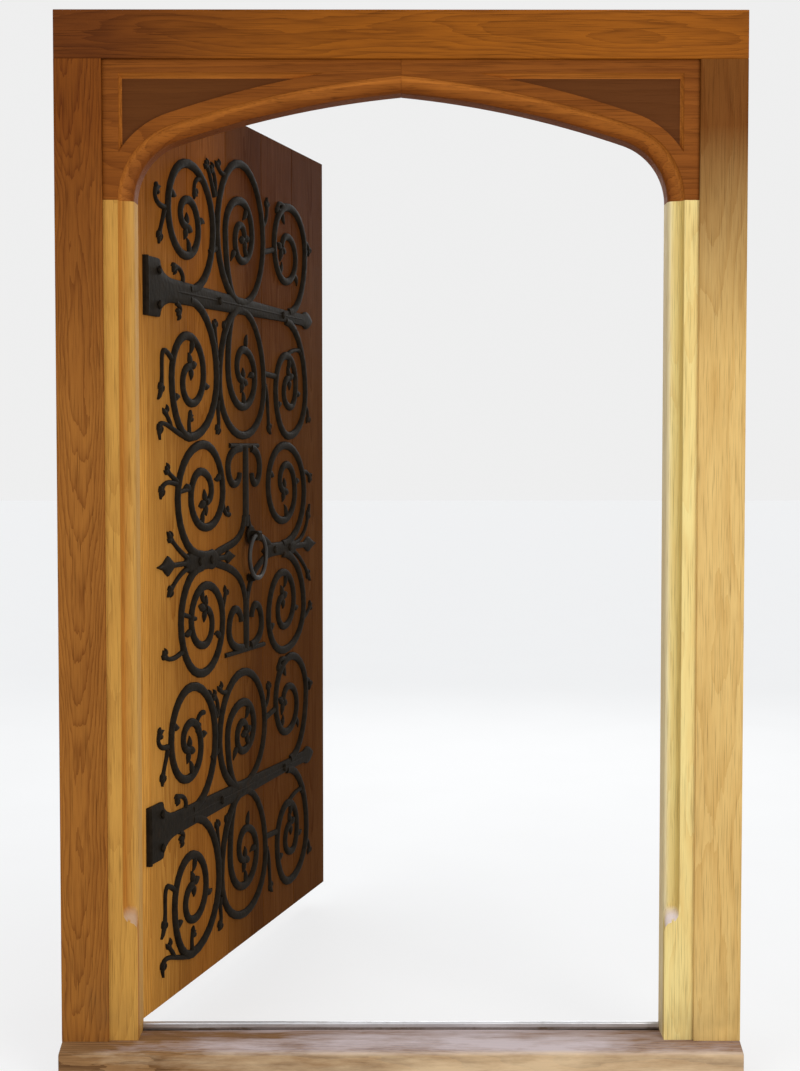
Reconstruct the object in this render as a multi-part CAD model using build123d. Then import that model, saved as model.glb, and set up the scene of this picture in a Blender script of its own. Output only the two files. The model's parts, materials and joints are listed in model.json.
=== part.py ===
from build123d import *
import math
import os

# Arched oak doorway: a rebated frame, a planked leaf hung on butt hinges, and wrought ironwork on its face.
# Millimetres. X runs along the front, Y inward from the posts' front face, Z up from the sill's underside.

# The frame
DOORWAY_WIDTH = 1105.0      # clear width between the linings
LINING_WIDTH = 61.0
POST_WIDTH = 98.0           # the post's front face
FRAME_DEPTH = 125.0
LINING_BACK = 80.0          # the leaf closes against this plane
LINING_SETBACK = 8.0        # the linings stand this far behind the posts' face
POST_REBATE = 20.0          # how far the rebate goes into the post, beside the leaf
BEAM_REBATE = 18.5
SILL_REBATE = 18.0
SEAT_HEIGHT = 75.0          # top of the sill under the posts
SPRING_HEIGHT = 1753.5      # from the seat up to the springing of the arch
ARCH_RISE = 223.0
HAUNCH_RADIUS = 130.0
CROWN_OFFSET = 200.0        # how far each crown arc's centre lies past the middle
ARCH_HEAD_HEIGHT = 286.0    # from the springing up to the beam
BEAM_HEIGHT = 99.0
TENON_THICKNESS = 32.0
TENON_WIDTH = 60.0
TENON_LENGTH = 42.0
TENON_INSET = 30.0          # from the front face to the tenon

# The sill and its weather bar
SILL_NOSE = 40.0            # how far the sill stands out in front of the posts
SILL_FALL = 13.0            # drop of the weathered top over the nosing
SILL_NOSE_RADIUS = 9.0
DRIP_WIDTH = 8.0
DRIP_DEPTH = 6.0
DRIP_INSET = 12.0
BAR_THICKNESS = 8.0
BAR_RISE = 16.0
BAR_SINK = 8.0
BAR_GAP = 3.0               # between the bar and the closed leaf

# The moulding on the linings and the arch
ROLL = 14.0
HOLLOW = 17.0
STOP_HEIGHT = 291.0         # the moulding ends here, above the seat
STOP_RADIUS = 42.0
SPANDREL_OFFSET = 56.0      # from the daylight edge to the sunk spandrel
SPANDREL_SIDE = 32.5
SPANDREL_TOP = 27.0
SPANDREL_DEPTH = 12.0
SPANDREL_TOP_BEVEL = 9.0
SPANDREL_SIDE_BEVEL = 6.0

# The leaf
LEAF_GAP = 3.0              # all round the closed leaf
LEAF_FLOOR_GAP = 5.0
STOP_GAP = 1.0              # between the closed leaf and the linings
OPEN_ANGLE = 73.2
BOARD_THICKNESS = 22.0
FRAMING_THICKNESS = 22.0
BOARD_JOINTS = (0.082, 0.253, 0.434, 0.623, 0.801)
V_JOINT = 1.8
TONGUE_LENGTH = 6.0
TONGUE_THICKNESS = 6.0
GROOVE_CLEARANCE = 0.4
STILE_WIDTH = 115.0
TOP_RAIL = 110.0
BOTTOM_RAIL = 180.0
LEDGE_HEIGHT = 150.0
RAIL_TENON = 40.0
RAIL_TENON_THICKNESS = 8.0

# The butt hinges
PIN_STANDOFF = 4.0          # pin axis behind the leaf's inner face
KNUCKLE_RADIUS = 5.5
KNUCKLE_SIDES = 8
HINGE_PIN_RADIUS = 2.5
PIN_CLEARANCE = 0.05
KNUCKLE_CAP = 4.0           # solid top of the leaf's knuckle, over the pin
FLAP_HEIGHT = 100.0
FLAP_WIDTH = 38.0
FLAP_THICKNESS = 3.0
KNUCKLE_GAP = 0.3
KNUCKLE_RELIEF = 0.6
HINGE_FROM_TOP = 190.0
HINGE_FROM_BOTTOM = 240.0

# The ironwork
IRON_THICKNESS = 8.0
IRON_CLEARANCE = 4.0        # between the ironwork and the lining beside the hinges
IRON_END_GAP = 19.5         # between the straps' far ends and the other lining
PATTERN_REACH = 1079.0      # the patterns below are drawn for this reach of strap
PATTERN_HEIGHT = 2068.0     # and for a leaf of this height
UPPER_AXIS = 1612.5         # height of each axis above the leaf's bottom edge, on such a leaf
MIDDLE_AXIS = 990.5
LOWER_AXIS = 398.0
PATTERN_START = 82.0        # the straps start this far from the leaf's hinge edge
UPPER_CROWN = 353.0         # height of the middle scroll over the upper strap
LOWER_CROWN = 295.0
STEM_U = 666.0              # the middle piece's upright stem, along the pattern
LARGE_TURN = 160.0          # quarter turns over this size are forged in four flats
SMALL_TURN = 84.0           # and those under this one in two
SCROLL_BAR = 17.0           # width of a scroll's bar where it leaves the strap
SCROLL_TIP = 9.0            # and at its inner end
TENDRIL_BAR = 11.0
TENDRIL_STATIONS = (0.0, 0.4, 0.8, 1.0)        # along a tendril, from root to leaf tip
TENDRIL_SHARES = (1.0, 0.8, 1.6, 0.0)          # of that width, at each station
PLATE_LENGTH = 78.0
PLATE_HALF = 65.0
NECK_LENGTH = 74.0
STRAP_HALF = 27.0
STRAP_END_HALF = 16.0
FINIAL_LENGTH = 86.0
FINIAL_HALF = 24.0
MIDDLE_END_SHIFT = 16.0     # the middle piece reaches this much further than the straps
MIDDLE_END_HALF = 20.0

# The coach screws through the ironwork
SCREW_NECK = 8.0
SCREW_HOLE_CLEARANCE = 0.2
SCREW_HEAD_RADIUS = 11.0
SCREW_HEAD_HEIGHT = 6.0
SCREW_LENGTH = 44.0
PLATE_SCREW_EDGE = 10.0     # from a plate screw to the end of the plate
PLATE_SCREW_HEIGHT = 38.0

# The knocker
KNOCKER_OFFSET = 16.0       # from the stem to the middle of the knocker
KNOCKER_V = 46.0            # and its height above the middle axis
BOSS_RADIUS = 26.0
BOSS_SIDES = 10
PAD_MARGIN = 2.0            # of the pad round the boss
BOSS_BASE = 5.0
BOSS_WIDTH = 26.0
BOSS_HEIGHT = 24.0
BOSS_REACH = 29.0
RING_RADIUS = 55.0
RING_BAR = 5.5
RING_STANDOFF = 20.0        # ring plane in front of the ironwork
RING_BORE_CLEARANCE = 0.1
RING_FACETS = 16
PIVOT_SPREAD = 18.0
PIVOT_INNER = 5.0
STUD_RADIUS = 10.0
STUD_SIDES = 8
STUD_GAP = 0.6

# The lock
LOCK_FROM_BOTTOM = 860.0
CASE_DEPTH = 76.0
CASE_HEIGHT = 110.0
CASE_THICKNESS = 14.0
FOREND_WIDTH = 22.0
FOREND_HEIGHT = 170.0
FOREND_THICKNESS = 3.0
LOCK_BOLT_HEIGHT = 22.0
LOCK_BOLT_THICKNESS = 9.0
LOCK_BOLT_LENGTH = 58.0
LOCK_BOLT_THROW = 20.0
LOCK_BOLT_CLEARANCE = 0.3
KEYHOLE_RADIUS = 4.0
KEYHOLE_SLOT = 5.0
KEYHOLE_LENGTH = 14.0
KEYHOLE_INSET = 50.0
ESCUTCHEON_WIDTH = 26.0
ESCUTCHEON_HEIGHT = 44.0
ESCUTCHEON_THICKNESS = 2.5
STRIKE_WIDTH = 26.0
STRIKE_HEIGHT = 120.0
STRIKE_THICKNESS = 3.0
STRIKE_CLEARANCE = 2.0

# Worked out from the sizes above
HALF_DAYLIGHT = DOORWAY_WIDTH / 2
POST_INNER = HALF_DAYLIGHT + LINING_WIDTH
FRAME_HALF = POST_INNER + POST_WIDTH
REBATE_FACE = POST_INNER + POST_REBATE
SPRING_Z = SEAT_HEIGHT + SPRING_HEIGHT
BEAM_Z = SPRING_Z + ARCH_HEAD_HEIGHT
FRAME_TOP = BEAM_Z + BEAM_HEIGHT
LEAF_HALF = REBATE_FACE - LEAF_GAP
LEAF_WIDTH = 2 * LEAF_HALF
LEAF_FACE = LINING_BACK + STOP_GAP
FRAMING_FACE = LEAF_FACE + BOARD_THICKNESS
LEAF_BACK = FRAMING_FACE + FRAMING_THICKNESS
LEAF_BOTTOM = SEAT_HEIGHT - SILL_REBATE + LEAF_FLOOR_GAP
LEAF_TOP = BEAM_Z + BEAM_REBATE - LEAF_GAP
LEAF_HEIGHT = LEAF_TOP - LEAF_BOTTOM
PIN_X = -(LEAF_HALF + REBATE_FACE) / 2
PIN_Y = LEAF_BACK + PIN_STANDOFF
IRON_FACE = LEAF_FACE - IRON_THICKNESS
IRON_START = LEAF_HALF - HALF_DAYLIGHT + IRON_CLEARANCE
IRON_REACH = DOORWAY_WIDTH - IRON_CLEARANCE - IRON_END_GAP
U_SCALE = IRON_REACH / PATTERN_REACH
V_SCALE = LEAF_HEIGHT / PATTERN_HEIGHT


def block(x0, x1, y0, y1, z0, z1):
    return Pos((x0 + x1) / 2, (y0 + y1) / 2, (z0 + z1) / 2) * Box(x1 - x0, y1 - y0, z1 - z0)


def prism_z(outline, z0, z1):
    """An outline in X and Y, drawn up from z0 to z1."""
    return extrude(Plane((0, 0, z0)) * make_face(Polyline(*outline, close=True)), z1 - z0)


def prism_x(outline, x0, x1):
    """An outline in Y and Z, drawn along X from x0 to x1."""
    face = make_face(Polyline(*outline, close=True))
    return extrude(Plane((x0, 0, 0), x_dir=(0, 1, 0), z_dir=(1, 0, 0)) * face, x1 - x0)


def bossed(seat, sides, radius, height, bevel):
    """A many-sided boss that stands on a plane, with a bevel round its top."""
    body = extrude(seat * RegularPolygon(radius, sides), height)
    return chamfer(body.faces().sort_by(Axis(seat.origin, seat.z_dir))[-1].edges(), bevel)


def opened(shape):
    """Turn a piece of the leaf from its closed place to where it stands open."""
    return Pos(PIN_X, PIN_Y, 0) * Rot(0, 0, OPEN_ANGLE) * Pos(-PIN_X, -PIN_Y, 0) * shape


def other_side(shape):
    return mirror(shape, about=Plane.YZ)


# The arch: each half is a haunch arc and a flatter crown arc that meet in line

def crown_arc():
    """Height of the crown arc's centre, and its radius, from the rise, the haunch and the centre's offset."""
    half, haunch, rise, offset = HALF_DAYLIGHT, HAUNCH_RADIUS, ARCH_RISE, CROWN_OFFSET
    b = offset ** 2 + rise ** 2 + haunch ** 2 - (half - haunch + offset) ** 2
    p = 4 * (rise ** 2 - haunch ** 2)
    q = 4 * rise * b - 8 * haunch ** 2 * rise
    r = b ** 2 - 4 * haunch ** 2 * (offset ** 2 + rise ** 2)
    drop = (-q + math.sqrt(q * q - 4 * p * r)) / (2 * p)
    return SPRING_Z - drop, (2 * drop * rise + b) / (2 * haunch)


CROWN_Z, CROWN_RADIUS = crown_arc()
HAUNCH_X = HALF_DAYLIGHT - HAUNCH_RADIUS
TANGENT_ANGLE = math.degrees(math.atan2(SPRING_Z - CROWN_Z, HAUNCH_X + CROWN_OFFSET))
APEX_ANGLE = math.degrees(math.acos(CROWN_OFFSET / CROWN_RADIUS))
FRONT = Plane((0, 0, 0), x_dir=(1, 0, 0), z_dir=(0, -1, 0))


def under_arch(offset):
    """The right half of the opening, made larger by an offset, as a face in X and Z."""
    crown = CROWN_RADIUS + offset
    top_angle = math.degrees(math.acos(CROWN_OFFSET / crown))
    haunch_arc = CenterArc((HAUNCH_X, SPRING_Z), HAUNCH_RADIUS + offset, 0, TANGENT_ANGLE)
    crown_part = CenterArc((-CROWN_OFFSET, CROWN_Z), crown, TANGENT_ANGLE, top_angle - TANGENT_ANGLE)
    side = Line((0, SPRING_Z), haunch_arc @ 0)
    middle = Line(crown_part @ 1, (0, SPRING_Z))
    return make_face(Curve() + [side, haunch_arc, crown_part, middle])


def flat(x0, x1, z0, z1):
    return make_face(Polyline((x0, z0), (x1, z0), (x1, z1), (x0, z1), close=True))


def mould_void():
    """What the moulding takes off a daylight corner: distance from the daylight edge, and depth.

    The hollow and the roll are quarter rounds, planed in three flats each."""
    face = LINING_SETBACK
    lead = 3.0
    turns = [math.radians(30 * i) for i in range(4)]
    hollow = [(ROLL + HOLLOW * math.cos(a), face + HOLLOW * math.sin(a)) for a in turns]
    roll = [(ROLL - ROLL * math.sin(a), face + HOLLOW + ROLL - ROLL * math.cos(a)) for a in turns[1:]]
    corner = [(-lead, face + HOLLOW + ROLL), (-lead, face - lead), (ROLL + HOLLOW, face - lead)]
    return make_face(Polyline(*hollow, *roll, *corner, close=True))


def turned_void(x, z, radius, start, end):
    """The moulding's void, carried round a centre from one angle to another."""
    section = Plane((x, 0, z)) * Pos(radius, 0) * mould_void()
    turn = Axis((x, 0, z), (0, -1, 0))
    return revolve(section, turn, end - start).rotate(turn, start)


def right_arch_half():
    board = flat(0, POST_INNER, SPRING_Z, BEAM_Z) - under_arch(0)
    half = extrude(FRONT * board, LINING_BACK, dir=(0, 1, 0))
    half -= block(-1, POST_INNER + 1, -1, LINING_SETBACK, SPRING_Z - 1, BEAM_Z + 1)
    half -= turned_void(HAUNCH_X, SPRING_Z, HAUNCH_RADIUS, 0, TANGENT_ANGLE)
    past_middle = 2.0
    half -= turned_void(-CROWN_OFFSET, CROWN_Z, CROWN_RADIUS, TANGENT_ANGLE, APEX_ANGLE + past_middle)
    side = POST_INNER - SPANDREL_SIDE
    top = BEAM_Z - SPANDREL_TOP
    floor = LINING_SETBACK + SPANDREL_DEPTH
    sunk = extrude(FRONT * (flat(0, side, SPRING_Z, top) - under_arch(SPANDREL_OFFSET)), floor, dir=(0, 1, 0))
    sunk -= prism_x([(LINING_SETBACK, top), (floor, top), (floor, top - SPANDREL_TOP_BEVEL)], -1, side + 1)
    sunk -= prism_z([(side, LINING_SETBACK), (side, floor), (side - SPANDREL_SIDE_BEVEL, floor)],
                    SPRING_Z - 1, top + 1)
    return half - sunk


def right_lining():
    stop = SEAT_HEIGHT + STOP_HEIGHT
    lining = block(HALF_DAYLIGHT, POST_INNER, LINING_SETBACK, LINING_BACK, SEAT_HEIGHT, SPRING_Z)
    section = Plane((HALF_DAYLIGHT, 0, stop)) * mould_void()
    lining -= extrude(section, SPRING_Z - stop)
    run_out = Axis((0, LINING_SETBACK - STOP_RADIUS, stop), (-1, 0, 0))
    return lining - revolve(section, run_out, 90)


def tenon(z0, z1, grow=0.0):
    centre = (REBATE_FACE + FRAME_HALF) / 2
    return block(centre - TENON_WIDTH / 2 - grow, centre + TENON_WIDTH / 2 + grow,
                 TENON_INSET - grow, TENON_INSET + TENON_THICKNESS + grow, z0, z1)


def post():
    """The right post, with a tenon at each end and the rebate that the leaf closes into."""
    body = block(POST_INNER, FRAME_HALF, 0, FRAME_DEPTH, SEAT_HEIGHT, BEAM_Z)
    body -= block(POST_INNER, REBATE_FACE, LINING_BACK, FRAME_DEPTH, SEAT_HEIGHT, BEAM_Z)
    body += tenon(SEAT_HEIGHT - TENON_LENGTH, SEAT_HEIGHT)
    return body + tenon(BEAM_Z, BEAM_Z + TENON_LENGTH)


def both_mortises(z0, z1):
    right = tenon(z0, z1)
    return [right, other_side(right)]


def head_beam():
    beam = block(-FRAME_HALF, FRAME_HALF, 0, FRAME_DEPTH, BEAM_Z, FRAME_TOP)
    beam -= block(-REBATE_FACE, REBATE_FACE, LINING_BACK, FRAME_DEPTH, BEAM_Z, BEAM_Z + BEAM_REBATE)
    return beam - both_mortises(BEAM_Z, BEAM_Z + TENON_LENGTH)


BAR_BACK = LEAF_FACE - BAR_GAP
BAR_FRONT = BAR_BACK - BAR_THICKNESS


def sill():
    nose_top = SEAT_HEIGHT - SILL_FALL
    outline = Polyline((0, SEAT_HEIGHT), (-SILL_NOSE, nose_top), (-SILL_NOSE, 0), (FRAME_DEPTH, 0),
                       (FRAME_DEPTH, SEAT_HEIGHT), close=True)
    section = fillet(make_face(outline).vertices().sort_by(Axis.X)[0:2], SILL_NOSE_RADIUS)
    body = extrude(Plane((-FRAME_HALF, 0, 0), x_dir=(0, 1, 0), z_dir=(1, 0, 0)) * section, 2 * FRAME_HALF)
    drip = DRIP_INSET - SILL_NOSE
    body -= block(-FRAME_HALF, FRAME_HALF, drip, drip + DRIP_WIDTH, 0, DRIP_DEPTH)
    body -= block(-REBATE_FACE, REBATE_FACE, LINING_BACK, FRAME_DEPTH, SEAT_HEIGHT - SILL_REBATE, SEAT_HEIGHT)
    body -= block(-HALF_DAYLIGHT, HALF_DAYLIGHT, BAR_FRONT, BAR_BACK, SEAT_HEIGHT - BAR_SINK, SEAT_HEIGHT)
    return body - both_mortises(SEAT_HEIGHT - TENON_LENGTH, SEAT_HEIGHT)


def weather_bar():
    bar = block(-HALF_DAYLIGHT, HALF_DAYLIGHT, BAR_FRONT, BAR_BACK,
                SEAT_HEIGHT - BAR_SINK, SEAT_HEIGHT + BAR_RISE)
    front_top = bar.edges().filter_by(Axis.X).sort_by(Axis.Z)[-2:].sort_by(Axis.Y)[0]
    return chamfer(front_top, BAR_THICKNESS / 3)


# The leaf, in its closed place: boards on the outside, framing behind them

def board(left, right, has_groove, has_tongue):
    """One face board, from one joint to the next, with its tongue and groove."""
    y0, y1 = LEAF_FACE, FRAMING_FACE
    middle = (y0 + y1) / 2
    tongue = TONGUE_THICKNESS / 2
    groove = tongue + GROOVE_CLEARANCE
    groove_x = left + TONGUE_LENGTH + GROOVE_CLEARANCE
    outline = [(left + V_JOINT, y0), (right - V_JOINT, y0), (right, y0 + V_JOINT)]
    if has_tongue:
        tip = right + TONGUE_LENGTH
        outline += [(right, middle - tongue), (tip, middle - tongue)]
        outline += [(tip, middle + tongue), (right, middle + tongue)]
    outline += [(right, y1), (left, y1)]
    if has_groove:
        outline += [(left, middle + groove), (groove_x, middle + groove), (groove_x, middle - groove),
                    (left, middle - groove)]
    outline += [(left, y0 + V_JOINT)]
    return prism_z(outline, LEAF_BOTTOM, LEAF_TOP)


def boards():
    joints = [0.0, *BOARD_JOINTS, 1.0]
    edges = [-LEAF_HALF + LEAF_WIDTH * share for share in joints]
    last = len(edges) - 2
    return [board(edges[i], edges[i + 1], i > 0, i < last) for i in range(last + 1)]


STILE_INNER = LEAF_HALF - STILE_WIDTH
UPPER_Z = LEAF_BOTTOM + UPPER_AXIS * V_SCALE
MIDDLE_Z = LEAF_BOTTOM + MIDDLE_AXIS * V_SCALE
LOWER_Z = LEAF_BOTTOM + LOWER_AXIS * V_SCALE
RAILS = {
    "top_rail": (LEAF_TOP - TOP_RAIL, LEAF_TOP),
    "upper_ledge": (UPPER_Z - LEDGE_HEIGHT / 2, UPPER_Z + LEDGE_HEIGHT / 2),
    "middle_ledge": (MIDDLE_Z - LEDGE_HEIGHT / 2, MIDDLE_Z + LEDGE_HEIGHT / 2),
    "lower_ledge": (LOWER_Z - LEDGE_HEIGHT / 2, LOWER_Z + LEDGE_HEIGHT / 2),
    "bottom_rail": (LEAF_BOTTOM, LEAF_BOTTOM + BOTTOM_RAIL),
}
TENON_FACE = (FRAMING_FACE + LEAF_BACK + RAIL_TENON_THICKNESS) / 2


def rail_tenon(z0, z1):
    """Both tenons of a rail, as one bar that runs on into the stiles."""
    shoulder = (z1 - z0) / 8
    reach = STILE_INNER + RAIL_TENON
    return block(-reach, reach, TENON_FACE - RAIL_TENON_THICKNESS, TENON_FACE, z0 + shoulder, z1 - shoulder)


def rail(z0, z1):
    return block(-STILE_INNER, STILE_INNER, FRAMING_FACE, LEAF_BACK, z0, z1) + rail_tenon(z0, z1)


def stile():
    """The right, lock stile before the lock is cut in."""
    body = block(STILE_INNER, LEAF_HALF, FRAMING_FACE, LEAF_BACK, LEAF_BOTTOM, LEAF_TOP)
    return body - [rail_tenon(z0, z1) for z0, z1 in RAILS.values()]


# The lift-off butt hinges, on the inner edge of the left post

HINGES = {
    "upper": LEAF_TOP - HINGE_FROM_TOP,
    "middle": (LEAF_TOP - HINGE_FROM_TOP + LEAF_BOTTOM + HINGE_FROM_BOTTOM) / 2,
    "lower": LEAF_BOTTOM + HINGE_FROM_BOTTOM,
}
PAD = (REBATE_FACE - LEAF_HALF) / 2     # from the pin's axis to the face of each flap


def rod(radius, z0, z1):
    return Pos(PIN_X, PIN_Y, z0) * Cylinder(radius, z1 - z0, align=(Align.CENTER, Align.CENTER, Align.MIN))


def knuckle(z, side):
    """Heights of a knuckle of the hinge centred at z: the leaf's stands on the frame's."""
    if side > 0:
        return z + KNUCKLE_GAP / 2, z + FLAP_HEIGHT / 2
    return z - FLAP_HEIGHT / 2, z - KNUCKLE_GAP / 2


def flap_plate(z, side):
    """The plate of a flap: side -1 lies in the post, side +1 in the leaf."""
    near, away = PIN_X + side * PAD, PIN_X + side * (PAD + FLAP_THICKNESS)
    return block(min(near, away), max(near, away), LEAF_BACK - FLAP_WIDTH, PIN_Y,
                 z - FLAP_HEIGHT / 2, z + FLAP_HEIGHT / 2)


def around_pin(z0, z1):
    """Room for a knuckle to turn in."""
    clear = KNUCKLE_RADIUS + KNUCKLE_RELIEF
    return block(PIN_X - clear, PIN_X + clear, PIN_Y - clear, PIN_Y + clear, z0, z1)


def flap(z, side):
    """A flap and its knuckle, whose outside is hammered in flats round the bore."""
    own_low, own_high = knuckle(z, side)
    other_low, other_high = knuckle(z, -side)
    outline = Plane((PIN_X, PIN_Y, own_low)) * RegularPolygon(KNUCKLE_RADIUS, KNUCKLE_SIDES)
    barrel = extrude(outline, own_high - own_low)
    body = flap_plate(z, side) - around_pin(other_low - KNUCKLE_GAP, other_high + KNUCKLE_GAP) + barrel
    return body - rod(HINGE_PIN_RADIUS + PIN_CLEARANCE, z - FLAP_HEIGHT / 2, z + FLAP_HEIGHT / 2 - KNUCKLE_CAP)


def hinge_housing(z, side):
    """What is cut out of the wood for a flap, and for the knuckles beside it."""
    return flap_plate(z, side) + around_pin(z - FLAP_HEIGHT / 2, z + FLAP_HEIGHT / 2)


def hinge_pin(z):
    """The pin is fixed in the frame's knuckle, and the leaf's capped knuckle lifts off it."""
    return rod(HINGE_PIN_RADIUS, z - FLAP_HEIGHT / 2, z + FLAP_HEIGHT / 2 - KNUCKLE_CAP - KNUCKLE_GAP)


# The ironwork: every bar is drawn on the leaf's face by its centre line, in flats between hammer blows

def whorl(points, level):
    """Quarter turns between points that lie level with, or upright from, one another's centres.

    The bar runs level at the first point if level is true, upright at the next, and so on."""
    line = [points[0]]
    for (u0, v0), (u1, v1) in zip(points, points[1:]):
        size = max(abs(u1 - u0), abs(v1 - v0))
        flats = 4 if size > LARGE_TURN else 3 if size > SMALL_TURN else 2
        for i in range(1, flats + 1):
            turn = math.pi / 2 * i / flats
            if level:
                line.append((u0 + (u1 - u0) * math.sin(turn), v1 + (v0 - v1) * math.cos(turn)))
            else:
                line.append((u1 + (u0 - u1) * math.cos(turn), v0 + (v1 - v0) * math.sin(turn)))
        level = not level
    return line


def sweep_of(points, stations=(0, 1 / 3, 2 / 3, 1)):
    """Points on the smooth line that leaves its first point towards the second and ends at the last."""
    n = len(points) - 1
    line = []
    for t in stations:
        share = [math.comb(n, k) * t ** k * (1 - t) ** (n - k) for k in range(n + 1)]
        line.append(tuple(sum(s * p[axis] for s, p in zip(share, points)) for axis in (0, 1)))
    return line


def fitted(points):
    """Points of a pattern, fitted to this door's strap reach and height."""
    return [(u * U_SCALE, v * V_SCALE) for u, v in points]


def drawn(line, widths):
    """A bar along a centre line, as wide as asked at each of its points, as a face."""
    line = fitted(line)
    left, right = [], []
    for i, ((u, v), width) in enumerate(zip(line, widths)):
        before, after = line[max(i - 1, 0)], line[min(i + 1, len(line) - 1)]
        du, dv = after[0] - before[0], after[1] - before[1]
        half = width / 2 / math.hypot(du, dv)
        left.append((u - dv * half, v + du * half))
        if width > 0:
            right.append((u + dv * half, v - du * half))
    return make_face(Polyline(*left, *reversed(right), close=True))


def bar(line, start_width, end_width):
    steps = len(line) - 1
    return drawn(line, [start_width + (end_width - start_width) * i / steps for i in range(steps + 1)])


def scroll(points, level=True):
    return bar(whorl(points, level), SCROLL_BAR, SCROLL_TIP)


def tendril(*points):
    """A thin side stem that swells into a pointed leaf."""
    return drawn(sweep_of(points, TENDRIL_STATIONS), [share * TENDRIL_BAR for share in TENDRIL_SHARES])


def both_ways(upper_half):
    """A closed outline from its upper half and the same points below the axis."""
    outline = upper_half + [(u, -v) for u, v in reversed(upper_half) if v > 0]
    return make_face(Polyline(*fitted(outline), close=True))


def finial(start, half, length, width):
    """The leaf-shaped end of a bar, from its neck to its tip."""
    swell = start + 0.42 * length
    return [(start, half), (swell - 0.18 * length, 0.82 * width), (swell, width),
            (swell + 0.25 * length, 0.55 * width), (start + length, 0)]


def strap():
    """The tapered strap, from its broad plate by the hinge side to its leaf-shaped end."""
    neck_end = PATTERN_START + PLATE_LENGTH + NECK_LENGTH
    neck = [(neck_end - NECK_LENGTH * math.cos(a), PLATE_HALF - (PLATE_HALF - STRAP_HALF) * math.sin(a))
            for a in (math.radians(22.5 * i) for i in range(5))]
    end = PATTERN_START + PATTERN_REACH - FINIAL_LENGTH
    far_end = finial(end, STRAP_END_HALF, FINIAL_LENGTH, FINIAL_HALF)
    return both_ways([(PATTERN_START, PLATE_HALF), *neck, *far_end])


def hinge_pattern(crown_height):
    """One strap with its three scrolls above and three below; the middle one above is as tall as asked."""
    shapes = [strap()]
    shapes.append(scroll([(325, 12), (462, 165), (325, 301), (209, 188), (303, 88), (376, 152), (322, 218),
                          (276, 184), (305, 156)]))
    shapes.append(scroll([(640, 8), (488, 0.48 * crown_height), (641, crown_height), (788, 0.5 * crown_height),
                          (640, 8)]))
    shapes.append(scroll([(614, 8), (538, 0.5 * crown_height), (640, 0.74 * crown_height),
                          (712, 0.52 * crown_height), (645, 0.32 * crown_height), (600, 0.45 * crown_height),
                          (638, 0.57 * crown_height), (662, 0.49 * crown_height)]))
    shapes.append(scroll([(975, 12), (1103, 185), (982, 294), (868, 184), (950, 92), (1028, 158), (968, 214),
                          (926, 182)]))
    shapes.append(scroll([(325, -12), (481, -183), (322, -330), (223, -195), (314, -95), (402, -180),
                          (336, -251), (283, -206), (325, -166)]))
    shapes.append(scroll([(640, -8), (497, -197), (650, -323), (791, -195), (640, -8)]))
    shapes.append(scroll([(606, -10), (551, -155), (645, -251), (727, -177), (656, -107), (609, -150),
                          (643, -184)]))
    shapes.append(scroll([(950, -12), (1104, -200), (973, -321), (875, -202), (959, -105), (1027, -180),
                          (986, -243), (936, -207), (972, -166)]))
    # joints between neighbouring rings
    shapes.append(bar([(440, 110), (495, 130)], SCROLL_BAR, SCROLL_BAR))
    shapes.append(bar([(470, -150), (510, -150)], SCROLL_BAR, SCROLL_BAR))
    shapes.append(bar([(780, 150), (880, 170)], SCROLL_BAR, SCROLL_BAR))
    shapes.append(bar([(782, -160), (885, -165)], SCROLL_BAR, SCROLL_BAR))
    # tendrils above the strap
    shapes.append(tendril((214, 175), (190, 150), (150, 185), (158, 208)))
    shapes.append(tendril((212, 170), (196, 140), (180, 130), (172, 116)))
    shapes.append(tendril((459, 0.58 * crown_height), (484, 0.64 * crown_height), (478, 0.76 * crown_height),
                          (466, 0.82 * crown_height)))
    shapes.append(tendril((458, 0.59 * crown_height), (446, 0.68 * crown_height), (424, 0.76 * crown_height),
                          (416, 0.8 * crown_height)))
    shapes.append(tendril((778, 0.62 * crown_height), (815, 0.62 * crown_height), (824, 0.75 * crown_height),
                          (816, 0.84 * crown_height)))
    shapes.append(tendril((940, 292), (900, 300), (892, 290), (896, 268)))
    shapes.append(tendril((1095, 215), (1122, 218), (1136, 205), (1142, 190)))
    shapes.append(tendril((250, 24), (280, 30), (280, 52), (262, 54)))
    # tendrils below the strap
    shapes.append(tendril((228, -170), (200, -120), (180, -130), (172, -190)))
    shapes.append(tendril((312, -326), (262, -318), (230, -270), (188, -292)))
    shapes.append(tendril((500, -240), (492, -262), (500, -285), (486, -300)))
    shapes.append(tendril((792, -190), (826, -230), (812, -290), (838, -318)))
    shapes.append(tendril((1097, -235), (1120, -240), (1130, -262), (1128, -280)))
    shapes.append(tendril((959, -105), (1010, -82), (1050, -86), (1086, -84)))
    shapes.append(tendril((250, -24), (280, -30), (282, -46), (256, -52)))
    return shapes


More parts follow.
